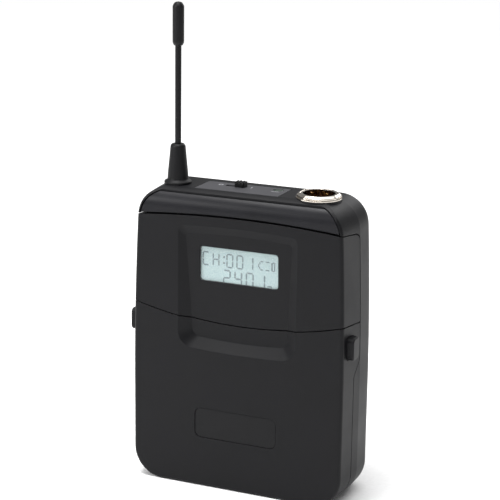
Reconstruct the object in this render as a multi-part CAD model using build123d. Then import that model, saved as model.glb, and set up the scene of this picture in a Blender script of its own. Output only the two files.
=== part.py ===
from build123d import *
import math
import os

# Wireless bodypack transmitter, millimetres, +Z up, the display facing -Y.
# The pieces are drawn with the front face at Y = 0 and moved at export, so that
# the origin lies under the middle of the whole object.

# Case
case_half_width = 32.1      # front edge, lower half
case_height = 87.2
case_depth = 23.5
side_taper = 1.75           # how much each side draws in from taper_start to the top
taper_start = 30.0
side_flare = 1.2            # how much each side widens from the front face to flare_depth
flare_depth = 11.0
top_corner_radius = 8.7
bottom_corner_radius = 8.8
rear_edge_radius = 6.4
front_edge_radius = 0.8
edge_steps = 3              # flat steps that make up the front edge's round
shoulder_radius = 5.4       # rounded shoulder from the front face to the top
wall = 1.8

# Parting lines between the case pieces
seam_gap = 0.3
trim_gap = 0.55
head_seam_mid = 80.6
head_seam_edge = 78.75
door_seam_mid = 49.4
door_seam_edge = 54.2
seam_half_width = 34.0      # where the two edge heights hold
seam_fall_angle = 6.0       # the seams fall towards the back along the sides
parting_upper_depth = 10.7
parting_lower_depth = 7.1
parting_step_low = 37.5
parting_step_high = 42.0
lip_thickness = 0.8
lip_reach = 1.5
lip_fit = 0.2
cover_corner_radius = 1.8   # upper rear corners of the front cover, on the sides

# Head trim
trim_depth = 2.3
trim_side_inset = 0.6
trim_set_back = 0.3

# Thumb and display recess
recess_half_width = 18.0
recess_top = 77.9
recess_bottom = 41.3
recess_arch = 0.7
recess_slope_side_top = 1.9
recess_slope_side_bottom = 3.6
recess_slope_top = 2.3
recess_slope_bottom = 2.8
recess_depth_top = 1.0
recess_depth_bottom = 2.4
recess_top_corner = 1.8
recess_bottom_corner = 4.6
recess_floor_top_corner = 1.0
recess_floor_bottom_corner = 2.4
pan_thickness = 1.3

# Display
window_width = 23.8
window_height = 10.1
window_corner = 1.0
window_z = 66.6
window_fit = 0.1
lens_thickness = 0.8
lens_flange = 1.5
lcd_width = 29.0
lcd_height = 13.0
lcd_thickness = 1.6
lcd_frame_wall = 0.9
board_thickness = 1.0

# Badge plate on the door
badge_width = 25.2
badge_height = 9.0
badge_corner = 2.0
badge_z = 19.5
badge_recess = 0.45
badge_thickness = 0.3
badge_fit = 0.1

# Door hinge
hinge_barrel_radius = 1.9
hinge_lug_radius = 1.6
hinge_lug_x = 16.5
hinge_lug_width = 5.0
hinge_side_fit = 0.2
hinge_pin_radius = 0.7
hinge_pin_fit = 0.05
hinge_pin_length = 9.6
hinge_notch = 3.4
barrel_half_length = 28.0

# Latches
latch_front = 2.3           # front edge of the button on the side wall
latch_length = 4.7
latch_low = 43.7
latch_high = 50.1
latch_corner = 1.3
latch_proud = 2.0
latch_rim_round = 0.5
latch_fit = 0.15
latch_travel = 1.2
latch_flange = 0.9
latch_flange_thickness = 1.0
latch_hook_reach = 5.3
latch_hook_height = 4.0
latch_hook_thickness = 1.0
catch_gap = 0.3
catch_depth = 0.8
bracket_thickness = 0.8
spring_thickness = 0.25
spring_room = 2.8
spring_width = 3.6
spring_foot = 0.8
spring_fit = 0.05

# Top plate, switch and light
plate_left = -15.3
plate_right = 9.9
plate_front = 5.0
plate_back = 15.0
plate_thickness = 0.5
plate_fit = 0.2
slot_left = -8.5
slot_right = -2.7
slot_y = 11.9
slot_width = 1.5
knob_length = 2.9
knob_width = 3.0
knob_height = 1.4
knob_rib = 0.45
switch_length = 10.0
switch_width = 5.0
switch_height = 4.2
stem_fit = 0.15
led_x = 7.0
led_y = 12.6
led_radius = 1.4
led_height = 2.6
led_fit = 0.1

# Microphone jack
jack_x = 20.5
jack_y = 9.0
jack_nut_radius = 6.4
jack_nut_height = 1.1
jack_hole_radius = 4.55
jack_shell_radius = 5.1
jack_shell_length = 14.0
jack_washer_radius = 6.4
jack_washer_thickness = 0.3
jack_insert_height = 4.0
jack_insert_depth = 6.5
jack_pin_radius = 0.5
jack_pin_circle = 2.1
jack_pin_top = 2.0          # below the nut face
jack_mouth_length = 1.6
jack_groove_radius = 4.85        # wider, so that the plug locks behind the mouth
jack_fit = 0.1

# Antenna
antenna_x = -22.2
antenna_y = 8.5
antenna_boot_low_radius = 3.0
antenna_boot_top_radius = 2.1
antenna_boot_height = 11.4
antenna_flange_radius = 3.9
antenna_flange_height = 1.0
antenna_whip_radius = 0.88
antenna_whip_top = 126.2
antenna_tip_radius = 1.62
antenna_tip_top = 138.4
antenna_tip_bury = 8.0
antenna_stud_radius = 2.0
antenna_stud_length = 8.0
antenna_nut_radius = 3.6
antenna_nut_height = 1.6

# Battery compartment
cell_radius = 7.25
cell_length = 49.2
cell_nub_radius = 2.7
cell_nub_height = 1.2
cell_gap = 0.5
cell_mid_x = -10.2
cell_y = 12.0
cell_fit = 0.2
tray_low = 4.2
tray_wall = 1.0
tray_floor = 1.0
tray_right = 26.6
contact_room = 1.8
contact_thickness = 0.3

# Control bay beside the cells
bay_front = 8.2
bay_mid_z = 26.0
button_radius = 2.0
button_proud = 1.4
button_travel = 0.5
button_fit = 0.15
button_pitch = 8.0
button_flange = 0.6
button_flange_thickness = 0.5
button_stem_radius = 0.9
control_board_width = 16.0
control_board_height = 28.0
control_post_radius = 1.2
tact_height = 0.6

# Boards
main_board_y = 17.2
main_board_half_width = 25.5
main_board_low = 61.2
main_board_high = 82.6
display_board_gap = 0.4
display_board_half_width = 14.4
display_board_low = 59.4
display_board_high = 77.5
shield_width = 17.0
shield_height = 15.0
shield_depth = 3.2
shield_x = -4.0
shield_z = 71.5

# Case screws
case_post_radius = 2.3
case_post_x = 25.2
case_post_z = 63.6
case_screw_radius = 1.0
case_screw_head_radius = 2.0
case_screw_head_height = 1.2
tray_screw_low = 14.0
tray_screw_pitch = 32.0
tray_screw_length = 5.0
case_screw_length = 9.0
screw_fit = 0.1

# Belt clip
clip_reach = 8.0
clip_width = 20.0
clip_thickness = 1.0
clip_top = 74.0
clip_bottom = 24.0
clip_base_length = 14.0
clip_bend_radius = 2.2
clip_mouth_gap = 3.6
clip_tip_flare = 1.6
clip_straight = 6.0
clip_screw_pitch = 10.0
clip_screw_radius = 1.2
clip_screw_head_radius = 2.4
clip_screw_head_height = 1.1

# Worked out from the sizes above
far = 200.0
front_shift = -(case_depth + clip_reach) / 2
hinge_y = parting_lower_depth - hinge_barrel_radius
hinge_z = hinge_barrel_radius
seam_slope = math.tan(math.radians(seam_fall_angle))
cell_pitch = 2 * cell_radius + cell_gap
cell_row_half = cell_pitch / 2 + cell_radius + cell_fit
tray_left = cell_mid_x - cell_row_half - tray_wall
bay_left = cell_mid_x + cell_row_half + tray_wall
cell_low = tray_low + tray_wall + contact_room
cell_high = cell_low + cell_length + cell_nub_height
tray_high = cell_high + contact_thickness + tray_wall + 0.2
tray_back = cell_y + cell_radius + cell_fit + tray_floor
nut_top = case_height + jack_washer_thickness + jack_nut_height
inside_top = case_height - wall
hole_low = inside_top - wall


def box(x0, x1, y0, y1, z0, z1):
    """A box from its lowest to its highest corner."""
    size = (x1 - x0, y1 - y0, z1 - z0)
    return Pos((x0 + x1) / 2, (y0 + y1) / 2, (z0 + z1) / 2) * Box(*size)


def rod_z(x, y, z0, z1, radius, top_radius=None):
    """An upright rod, or a cone when a top radius is given."""
    middle = Pos(x, y, (z0 + z1) / 2)
    if top_radius is None:
        return middle * Cylinder(radius, z1 - z0)
    return middle * Cone(radius, top_radius, z1 - z0)


def rod_y(x, z, y0, y1, radius):
    """A rod along Y."""
    return Pos(x, (y0 + y1) / 2, z) * Rot(90, 0, 0) * Cylinder(radius, y1 - y0)


def rod_x(y, z, x0, x1, radius):
    """A rod along X."""
    return Pos((x0 + x1) / 2, y, z) * Rot(0, 90, 0) * Cylinder(radius, x1 - x0)


def from_front(face, y0, y1):
    """A face drawn in X and Z, carried from depth y0 to depth y1."""
    return extrude(Pos(0, y0, 0) * face, amount=y1 - y0, dir=(0, 1, 0))


def mirrored(shape):
    """The same shape on the other side of the middle plane."""
    return mirror(shape, about=Plane.YZ)


def side_half_width(z, depth=0.0):
    """Half the width of the case at a height and a depth behind the front face."""
    rise = case_height - taper_start
    arc_radius = (rise ** 2 + side_taper ** 2) / (2 * side_taper)
    above = max(z - taper_start, 0.0)
    drawn_in = arc_radius - math.sqrt(arc_radius ** 2 - above ** 2)
    return case_half_width - drawn_in + side_flare * min(depth / flare_depth, 1.0)


def outline(inset, flare):
    """Front outline of the case as a face in the plane Y = 0."""
    low = case_half_width + flare - inset
    high = low - side_taper
    top = case_height - inset
    right = TangentArc((low, taper_start), (high, top), tangent=(0, 1))
    left = TangentArc((-low, taper_start), (-high, top), tangent=(0, 1))
    foot = Polyline((-low, taper_start), (-low, inset), (low, inset), (low, taper_start))
    head = Line((high, top), (-high, top))
    face = make_face(foot.edges() + right.edges() + head.edges() + left.edges())
    feet = [v for v in face.vertices() if v.Y < taper_start / 2]
    face = fillet(feet, bottom_corner_radius - inset)
    heads = [v for v in face.vertices() if v.Y > top - 0.01]
    face = fillet(heads, top_corner_radius - inset)
    return Plane.XZ * face


def case_solid(inset):
    """The outer form of the case, shrunk by inset all round."""
    edge = max(front_edge_radius - inset, 0.0)
    start = case_section(inset, inset + edge)
    middle = case_section(inset, flare_depth)
    body = loft([start.face(), middle.face()], ruled=True)
    if edge > 0:
        body += front_round(inset, edge)
    body += from_front(outline(inset, side_flare), flare_depth, case_depth - inset)
    rear = body.edges().filter_by(lambda e: e.center().Y > case_depth - inset - 0.01)
    body = fillet(rear, rear_edge_radius - inset)
    return body & shoulder_profile(inset)


def case_section(inset, depth, extra=0.0):
    """The case's outline at a depth, drawn in by an extra inset."""
    flare = side_flare * depth / flare_depth
    return Pos(0, depth, 0) * outline(inset + extra, flare)


def front_round(inset, edge):
    """The round of the front edge, as ruled steps from the front face inwards."""
    turns = [math.radians(90 * i / edge_steps) for i in range(edge_steps + 1)]
    round_part = None
    for low, high in zip(turns[:-1], turns[1:]):
        near = case_section(inset, inset + edge * (1 - math.cos(low)), edge * (1 - math.sin(low)))
        away = case_section(inset, inset + edge * (1 - math.cos(high)), edge * (1 - math.sin(high)))
        step = loft([near.face(), away.face()], ruled=True)
        round_part = step if round_part is None else round_part + step
    return round_part


def shoulder_profile(inset):
    """A long bar along X with the shoulder's round, which the case is cut to."""
    top = case_height - inset
    radius = shoulder_radius - inset
    profile = Polyline((inset, -1), (far, -1), (far, top), (inset, top), (inset, -1))
    face = make_face(profile)
    corner = [v for v in face.vertices() if v.X < inset + 0.01 and v.Y > top - 0.01]
    face = fillet(corner, radius)
    return extrude(Plane.YZ * face, amount=far / 2, both=True)


def below_seam(mid, edge, shift):
    """Everything below an arched seam that falls towards the back along the sides."""
    left = (-seam_half_width, edge + shift)
    right = (seam_half_width, edge + shift)
    reach = far / 2
    arch = ThreePointArc(left, (0, mid + shift), right)
    rest = Polyline(
        right,
        (reach, edge + shift),
        (reach, -far),
        (-reach, -far),
        (-reach, edge + shift),
        left,
    )
    face = Plane.XZ * make_face(arch.edges() + rest.edges())
    start = Pos(0, -reach, reach * seam_slope) * face
    return extrude(start, amount=far, dir=(0, 1, -seam_slope))


def front_zone(gap):
    """Everything in front of the parting line between the covers and the rear housing."""
    upper = parting_upper_depth - gap
    lower = parting_lower_depth - gap
    profile = Polyline(
        (-far, -far),
        (lower, -far),
        (lower, parting_step_low),
        (upper, parting_step_high),
        (upper, far),
        (-far, far),
        (-far, -far),
    )
    face = make_face(profile)
    steps = [v for v in face.vertices() if abs(v.Y) < far / 2]
    face = fillet(steps, (parting_step_high - parting_step_low) / 3)
    return extrude(Plane.YZ * face, amount=far / 2, both=True)


def recess_form():
    """The thumb and display recess: sloping walls down to a floor that deepens downwards."""
    half = recess_half_width
    face = make_face(recess_loop(half, half, recess_bottom, recess_top, recess_arch))
    face = fillet(corners(face, True), recess_top_corner)
    face = fillet(corners(face, False), recess_bottom_corner)
    inner_high = recess_half_width - recess_slope_side_top
    inner_low = recess_half_width - recess_slope_side_bottom
    low = recess_bottom + recess_slope_bottom
    high = recess_top - recess_slope_top
    floor = make_face(recess_loop(inner_high, inner_low, low, high, recess_arch))
    floor = fillet(corners(floor, True), recess_floor_top_corner)
    floor = fillet(corners(floor, False), recess_floor_bottom_corner)
    outer = Plane.XZ * face
    tilt = math.degrees(math.atan((recess_depth_bottom - recess_depth_top) / (high - low)))
    pivot = Pos(0, recess_depth_bottom, low) * Rot(tilt, 0, 0) * Pos(0, 0, -low)
    inner_face = pivot * (Plane.XZ * floor)
    return loft([outer.face(), inner_face.face()], ruled=True)


def recess_loop(half_high, half_low, low, high, arch):
    """The recess outline: straight sides, an arched top and a sagging bottom."""
    top = ThreePointArc((half_high, high - arch), (0, high), (-half_high, high - arch))
    bottom = ThreePointArc((-half_low, low + arch), (0, low), (half_low, low + arch))
    left = Line((-half_high, high - arch), (-half_low, low + arch))
    right = Line((half_low, low + arch), (half_high, high - arch))
    return top.edges() + left.edges() + bottom.edges() + right.edges()


def corners(face, upper):
    """The two upper or the two lower corners of a face."""
    middle = face.center().Y
    return [v for v in face.vertices() if (v.Y > middle) == upper]


def rounded_plate(width, height, corner, x, z, y0, y1):
    """A plate that faces -Y, with rounded corners."""
    face = Plane.XZ * RectangleRounded(width, height, corner)
    return from_front(Pos(x, 0, z) * face, y0, y1)


class Case:
    """Forms that the case pieces share, worked out once."""

    def __init__(self):
        self.outer = case_solid(0.0)
        self.shell = self.outer - case_solid(wall)
        self.lip = case_solid(wall + lip_fit) - case_solid(wall + lip_fit + lip_thickness)
        self.recess = recess_form()
        self.pan = self.recess_pan()

    def recess_pan(self):
        """The thickness behind the recess, which stands into the case."""
        block = Pos(0, pan_thickness, 0) * self.recess
        grown = block + self.recess
        cover_strip = box(-recess_half_width, recess_half_width, 0.2, wall, recess_bottom, recess_top)
        return (grown + cover_strip) & self.outer


def head_trim(case):
    """The rounded band on the front shoulder, between the upper seam and the top."""
    above = case.shell - below_seam(head_seam_mid, head_seam_edge, trim_gap)
    face = outline(trim_side_inset + seam_gap, 0.0)
    band = above & from_front(face, -1.0, trim_depth)
    return band & case_solid(trim_set_back)


def front_cover(case):
    """The display panel, which wraps onto both sides."""
    zone = front_zone(seam_gap / 2) & below_seam(head_seam_mid, head_seam_edge, 0.0)
    zone -= below_seam(door_seam_mid, door_seam_edge, seam_gap / 2)
    cover = (case.shell + case.pan) & (zone - cover_corners(-seam_gap / 2, 0.0))
    cover += door_stop_lip(case)
    cover -= case.recess
    opening = rounded_plate(window_width, window_height, window_corner, 0, window_z, -1, wall * 3)
    cover -= opening
    for side in (-1, 1):
        cover += cover_post(side)
    return cover


def cover_corners(back_shift, top_shift):
    """What the rounded upper rear corners leave out on both sides of the cover."""
    back = parting_upper_depth + back_shift
    share = (case_half_width / seam_half_width) ** 2
    seam = head_seam_mid - share * (head_seam_mid - head_seam_edge) - back * seam_slope
    top = seam + top_shift
    radius = cover_corner_radius
    inner = case_half_width - side_taper - wall
    block = box(inner, far, back - radius, back + 1, top - radius, top + 2)
    corner = block - rod_x(back - radius, top - radius, inner - 1, far, radius)
    return corner + mirrored(corner)


def door_stop_lip(case):
    """The lip on the cover's lower edge, which the door's top edge shuts over."""
    band = below_seam(door_seam_mid, door_seam_edge, lip_reach)
    band -= below_seam(door_seam_mid, door_seam_edge, -lip_reach)
    front = box(-far, far, -1, parting_upper_depth - lip_reach - lip_fit, 0, case_height)
    clear_of_pan = box(-recess_half_width - 0.5, recess_half_width + 0.5, -1, far, 0, far)
    lip = (case.lip & band & front) - clear_of_pan
    root = below_seam(door_seam_mid, door_seam_edge, lip_reach)
    root -= below_seam(door_seam_mid, door_seam_edge, seam_gap)
    thick = case_solid(wall / 2) - case_solid(wall + lip_fit + lip_thickness)
    lip += (thick & root & front) - clear_of_pan
    room = box(latch_bracket_x() - catch_gap, far, -1, far, 0, latch_high + latch_flange + catch_gap)
    return lip - room - mirrored(room)


def cover_post(side):
    """A screw post inside the front cover."""
    x = side * case_post_x
    post = rod_y(x, case_post_z, wall - 0.3, post_split(), case_post_radius)
    bore = rod_y(x, case_post_z, post_split() - 9.0, post_split() + 1, case_screw_radius)
    return post - bore


def post_split():
    """Depth at which the cover posts meet the bosses of the rear housing."""
    return case_depth - wall - 4.0


def battery_door(case):
    """The lower front shell, hinged at the bottom."""
    zone = front_zone(seam_gap / 2) & below_seam(door_seam_mid, door_seam_edge, -seam_gap / 2)
    door = (case.shell + case.pan) & zone
    door -= case.recess
    door -= rounded_plate(badge_width, badge_height, badge_corner, 0, badge_z, -1, badge_recess)
    door -= box(-far, far, hinge_y, far, -1, hinge_z)
    barrel = rod_x(hinge_y, hinge_z, -barrel_half_length, barrel_half_length, hinge_barrel_radius)
    door += barrel & case.outer
    for side in (-1, 1):
        door -= hinge_notch_form(side)
        door -= pin_form(side, hinge_pin_fit)
        door -= latch_slot(side)
        door += latch_bracket(side)
    return door


def hinge_notch_form(side):
    """The room in the door for one hinge lug of the housing."""
    half = hinge_lug_width / 2 + hinge_side_fit
    x = side * hinge_lug_x
    depth = hinge_y - hinge_notch
    return box(x - half, x + half, depth, far, -1, 2 * hinge_barrel_radius + 2)


def pin_form(side, extra):
    """One hinge pin, or its bore when extra is the clearance."""
    x = side * hinge_lug_x
    half = hinge_pin_length / 2 + extra
    return rod_x(hinge_y, hinge_z, x - half, x + half, hinge_pin_radius + extra)


def hinge_pins():
    """The two steel pins that the door turns on."""
    return [pin_form(-1, 0.0), pin_form(1, 0.0)]


def hinge_lug(side):
    """One lug of the rear housing, with the pin's bore."""
    half = hinge_lug_width / 2
    x = side * hinge_lug_x
    back = parting_lower_depth + 1.2
    lug = rod_x(hinge_y, hinge_z, x - half, x + half, hinge_lug_radius)
    low = hinge_z - hinge_lug_radius
    lug += box(x - half, x + half, hinge_y, back, low, hinge_z + hinge_lug_radius)
    return lug - pin_form(side, 0.0)


def latch_outline(grow):
    """The button's outline on the side of the case, as a face in Y and Z."""
    length = latch_length + 2 * grow
    height = latch_high - latch_low + 2 * grow
    face = Plane.YZ * RectangleRounded(length, height, latch_corner)
    middle_y = latch_front + latch_length / 2
    middle_z = (latch_low + latch_high) / 2
    return Pos(0, middle_y, middle_z) * face


def latch_outer_x():
    """Where the button's outer face stands."""
    return side_half_width(latch_low, latch_front) + latch_proud


def latch_flange_x():
    """Outer face of the flange, just inside the door's side wall."""
    return side_half_width(latch_high, 0.0) - wall - latch_fit


def latch_slot(side):
    """The slot in the door's side wall."""
    slot = extrude(Pos(20, 0, 0) * latch_outline(latch_fit), amount=30, dir=(1, 0, 0))
    return slot if side > 0 else mirrored(slot)


def latch(side):
    """A side button with its flange and the hook that holds the door shut."""
    flange_x = latch_flange_x()
    inner_x = flange_x - latch_flange_thickness
    length = latch_outer_x() - flange_x
    button = extrude(Pos(flange_x, 0, 0) * latch_outline(0.0), amount=length, dir=(1, 0, 0))
    rim = button.edges().filter_by(lambda e: e.center().X > latch_outer_x() - 0.01)
    button = fillet(rim, latch_rim_round)
    y0 = wall + latch_fit
    y1 = latch_front + latch_length + latch_flange
    z0 = latch_low - latch_flange
    z1 = latch_high + latch_flange
    plate = box(inner_x, flange_x, y0, y1, z0, z1)
    hook_mid = (latch_low + latch_high) / 2
    hook_low = hook_mid - latch_hook_height / 2
    hook_high = hook_mid + latch_hook_height / 2
    hook_end = y1 + latch_hook_reach
    arm = box(inner_x, inner_x + latch_hook_thickness, y1 - 0.2, hook_end, hook_low, hook_high)
    barb_x = inner_x + latch_hook_thickness + catch_depth
    barb = box(inner_x, barb_x, hook_end - 1.2, hook_end, hook_low, hook_high)
    piece = button + plate + arm + barb
    return piece if side > 0 else mirrored(piece)


def latch_bracket(side):
    """The rib on the door that backs the latch spring."""
    inner_x = latch_bracket_x()
    outer_x = inner_x + bracket_thickness
    y1 = latch_front + latch_length
    rib = box(inner_x, outer_x, wall - 0.3, y1, latch_low, latch_high)
    return rib if side > 0 else mirrored(rib)


def latch_bracket_x():
    """Inner face of the bracket."""
    return latch_flange_x() - latch_flange_thickness - spring_room - bracket_thickness


def latch_springs():
    """One bent leaf between each latch and its bracket."""
    inner_x = latch_flange_x() - latch_flange_thickness - spring_room
    y0 = wall + 0.6
    y1 = latch_front + latch_length - 0.4
    mid = (y0 + y1) / 2
    t = spring_thickness
    foot_x = inner_x + t / 2
    peak_x = inner_x + spring_room - t / 2 - spring_fit
    line = FilletPolyline(
        (foot_x, y0),
        (foot_x, y0 + spring_foot),
        (peak_x, mid - spring_foot / 2),
        (peak_x, mid + spring_foot / 2),
        (foot_x, y1 - spring_foot),
        (foot_x, y1),
        radius=0.3,
    )
    face = make_face(offset(line, amount=t / 2, side=Side.BOTH))
    middle = (latch_low + latch_high) / 2
    leaf = extrude(Pos(0, 0, middle - spring_width / 2) * face, amount=spring_width)
    return [leaf, mirrored(leaf)]


def rear_housing(case):
    """The back, the top and the upper sides, with the lips and bosses inside."""
    below_head = below_seam(head_seam_mid, head_seam_edge, seam_gap)
    covered = front_zone(-seam_gap / 2) & below_head
    body = case.shell - (covered - cover_corners(seam_gap / 2, seam_gap))
    trim_room = from_front(outline(trim_side_inset, 0.0), -1.0, trim_depth + seam_gap)
    body -= trim_room - below_head
    body += parting_lip(case) + trim_lip(case)
    body += top_pad(antenna_x, antenna_y, antenna_flange_radius)
    body += top_pad(jack_x, jack_y, jack_washer_radius)
    for side in (-1, 1):
        body += hinge_lug(side)
        body += case_boss(side)
        body += clip_boss(side)
        body += latch_catch(side)
    for z in tray_screw_heights():
        body += rod_y(cell_mid_x, z, tray_back, case_depth - wall + 0.2, case_post_radius)
    return body - housing_cuts()


def parting_lip(case):
    """The lip inside the parting line, which closes the seam with the covers."""
    thick = case_solid(wall - lip_fit) - case_solid(wall + lip_fit + lip_thickness)
    tall = box(-far, far, -far, far, bottom_corner_radius, far)
    zone = tall & below_seam(head_seam_mid, head_seam_edge, 0.0)
    lip = case.lip & (front_zone(-lip_reach) - front_zone(lip_reach))
    root = thick & (front_zone(-lip_reach) - front_zone(-seam_gap))
    hook_room = box(-far, far, 0, parting_upper_depth + far, latch_low, latch_high)
    hook_room -= front_zone(-lip_reach * 2)
    gap = box(-far, far, 0, parting_upper_depth + lip_reach, latch_low, latch_high)
    return ((lip + root) & zone) - gap - hook_room


def trim_lip(case):
    """The ledge behind the head trim."""
    depth = trim_depth + seam_gap
    thick = case_solid(wall - lip_fit) - case_solid(wall + lip_fit + lip_thickness)
    front = box(-far, far, -1, depth + lip_reach, 0, far)
    above = front - below_seam(head_seam_mid, head_seam_edge, -lip_reach)
    ledge = case.lip & above
    root = thick & (above - box(-far, far, -1, depth, 0, far))
    return ledge + (root - below_seam(head_seam_mid, head_seam_edge, seam_gap))


def top_pad(x, y, radius):
    """A round flat on the top, which carries what is screwed down there."""
    return rod_z(x, y, case_height - wall, case_height, radius)


def case_boss(side):
    """A boss for the screw that holds the front cover."""
    x = side * case_post_x
    return rod_y(x, case_post_z, post_split(), case_depth - wall + 0.2, case_post_radius)


def clip_boss(side):
    """A boss for one belt clip screw, which also backs the main board."""
    x = side * clip_screw_pitch / 2
    front = main_board_y + board_thickness
    return rod_y(x, clip_screw_z(), front, case_depth - wall + 0.2, clip_screw_radius * 2)


def latch_catch(side):
    """The rib that a latch hook holds on to."""
    inner_x = latch_flange_x() - latch_flange_thickness
    x0 = inner_x + latch_hook_thickness + catch_depth + catch_gap
    y0 = parting_upper_depth + seam_gap
    x1 = side_half_width(latch_low, flare_depth) - wall + 0.4
    middle = (latch_low + latch_high) / 2
    half = latch_hook_height / 2
    rib = box(x0, x1, y0, y0 + 1.0, middle - half, middle + half)
    return rib if side > 0 else mirrored(rib)


def clip_screw_z():
    """Height of the two belt clip screws."""
    return clip_top - clip_base_length / 2


def tray_screw_heights():
    """Heights of the two screws that hold the battery tray."""
    return (tray_screw_low, tray_screw_low + tray_screw_pitch)


def housing_cuts():
    """Holes and pockets of the rear housing."""
    nut_room = antenna_nut_radius + seam_gap
    cuts = [rod_z(antenna_x, antenna_y, hole_low, far, antenna_stud_radius + jack_fit)]
    cuts.append(rod_z(antenna_x, antenna_y, inside_top - antenna_nut_height * 2, inside_top, nut_room))
    cuts.append(rod_z(jack_x, jack_y, hole_low, far, jack_shell_radius + jack_fit))
    cuts.append(plate_pocket(plate_fit, case_height - plate_thickness))
    cuts.append(switch_slot(stem_fit))
    cuts.append(rod_z(led_x, led_y, hole_low, far, led_radius + led_fit))
    for x, z in case_screw_places():
        cuts.append(rod_y(x, z, 0, case_depth + 1, case_screw_radius + screw_fit))
        head = case_depth - case_screw_head_height
        cuts.append(rod_y(x, z, head, case_depth + 1, case_screw_head_radius + screw_fit))
    for side in (-1, 1):
        x = side * clip_screw_pitch / 2
        cuts.append(rod_y(x, clip_screw_z(), case_depth - 4.2, case_depth + 1, clip_screw_radius))
    return cuts


def case_screw_places():
    """X and Z of the four case screws."""
    places = [(side * case_post_x, case_post_z) for side in (-1, 1)]
    return places + [(cell_mid_x, z) for z in tray_screw_heights()]


def plate_pocket(extra, low):
    """The pocket of the top plate, or the plate itself when extra is zero."""
    x0 = plate_left - extra
    x1 = plate_right + extra
    return box(x0, x1, plate_front - extra, plate_back + extra, low, case_height + 0.01 * extra)


def switch_slot(extra):
    """The slot that the power knob's stem runs in."""
    half = slot_width / 2 + extra
    return box(slot_left - extra, slot_right + extra, slot_y - half, slot_y + half, hole_low, far)


def top_plate():
    """The thin plate let into the top, with the switch slot and the light's hole."""
    plate = plate_pocket(0.0, case_height - plate_thickness)
    plate -= switch_slot(stem_fit)
    return plate - rod_z(led_x, led_y, 0, far, led_radius + led_fit)


def power_knob():
    """The ribbed slide knob, standing at the right end of its slot."""
    right = slot_right
    left = right - knob_length
    low = case_height + 0.1
    top = low + knob_height
    half = knob_width / 2
    knob = box(left, right, slot_y - half, slot_y + half, low, top)
    knob = fillet(knob.edges().filter_by(Axis.Z), 0.4)
    for i in range(3):
        x = left + knob_length * (i + 0.5) / 3
        knob -= box(x - knob_rib / 2, x + knob_rib / 2, -far, far, top - 0.35, top + 1)
    stem_half = slot_width / 2
    stem_low = inside_top + stem_fit
    return knob + box(left + 0.2, right, slot_y - stem_half, slot_y + stem_half, stem_low, low)


def switch_body():
    """The slide switch under the top wall."""
    middle = (slot_left + slot_right) / 2
    half = switch_length / 2
    wide = switch_width / 2
    low = inside_top - switch_height
    return box(middle - half, middle + half, slot_y - wide, slot_y + wide, low, inside_top)


def status_light():
    """The light in the top plate: a round body with a domed end."""
    low = case_height - led_height
    body = rod_z(led_x, led_y, low, case_height, led_radius)
    top = body.faces().sort_by(Axis.Z)[-1]
    return fillet(top.edges(), led_radius / 4)


def jack_nut():
    """Eight-sided nut on the top, with a chamfered upper edge."""
    low = case_height + jack_washer_thickness
    mid = low + jack_nut_height * 0.45
    base = extrude(Pos(jack_x, jack_y, low) * nut_face(jack_nut_radius), amount=mid - low)
    crown = loft([
        (Pos(jack_x, jack_y, mid) * nut_face(jack_nut_radius)).face(),
        (Pos(jack_x, jack_y, nut_top) * nut_face(jack_nut_radius - 0.75)).face(),
    ])
    return base + crown - rod_z(jack_x, jack_y, 0, far, jack_shell_radius)


def nut_face(radius):
    """An eight-sided face with one flat towards the front."""
    return Rot(0, 0, 22.5) * RegularPolygon(radius, 8)


def jack_washer():
    """The thin ring under the nut."""
    top = case_height + jack_washer_thickness
    ring = rod_z(jack_x, jack_y, case_height, top, jack_washer_radius)
    return ring - rod_z(jack_x, jack_y, 0, far, jack_shell_radius + jack_fit)


def jack_shell():
    """The metal barrel: a short mouth above the pins and a locking groove below it."""
    low = nut_top - jack_shell_length
    shell = rod_z(jack_x, jack_y, low, nut_top - 0.1, jack_shell_radius)
    mouth_floor = nut_top - 0.1 - jack_mouth_length
    shell -= rod_z(jack_x, jack_y, mouth_floor, far, jack_hole_radius)
    return shell - rod_z(jack_x, jack_y, 0, mouth_floor, jack_groove_radius)


def jack_insert():
    """The moulded insert that carries the pins."""
    top = nut_top - jack_insert_depth
    body = rod_z(jack_x, jack_y, top - jack_insert_height, top, jack_groove_radius)
    for x, y in pin_places():
        body -= rod_z(x, y, 0, far, jack_pin_radius)
    return body


def pin_places():
    """X and Y of the four contact pins."""
    turns = [math.radians(45 + 90 * i) for i in range(4)]
    return [(jack_x + jack_pin_circle * math.cos(t), jack_y + jack_pin_circle * math.sin(t)) for t in turns]


def jack_pins():
    """Four round contact pins."""
    low = nut_top - jack_shell_length - 0.5
    top = nut_top - jack_pin_top
    return [rod_z(x, y, low, top, jack_pin_radius) for x, y in pin_places()]


def antenna_boot():
    """The rubber boot: a flange at the foot and a taper up to the whip."""
    foot = case_height
    shoulder = foot + antenna_flange_height
    top = foot + antenna_boot_height
    boot = rod_z(antenna_x, antenna_y, foot, foot + 0.4, antenna_flange_radius)
    flare = (foot + 0.4, shoulder, antenna_flange_radius, antenna_boot_low_radius)
    boot += rod_z(antenna_x, antenna_y, *flare)
    boot += rod_z(antenna_x, antenna_y, shoulder, top, antenna_boot_low_radius, antenna_boot_top_radius)
    boot -= rod_z(antenna_x, antenna_y, 0, foot + antenna_stud_grip(), antenna_stud_radius)
    return boot - rod_z(antenna_x, antenna_y, 0, far, antenna_whip_radius)


def antenna_stud_grip():
    """How far the stud stands up inside the boot."""
    return antenna_boot_height / 3


def antenna_stud():
    """The threaded stud through the top wall, with its nut inside."""
    top = case_height + antenna_stud_grip()
    stud = rod_z(antenna_x, antenna_y, top - antenna_stud_length - wall, top, antenna_stud_radius)
    return stud + rod_z(antenna_x, antenna_y, inside_top - antenna_nut_height, inside_top, antenna_nut_radius)


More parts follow.
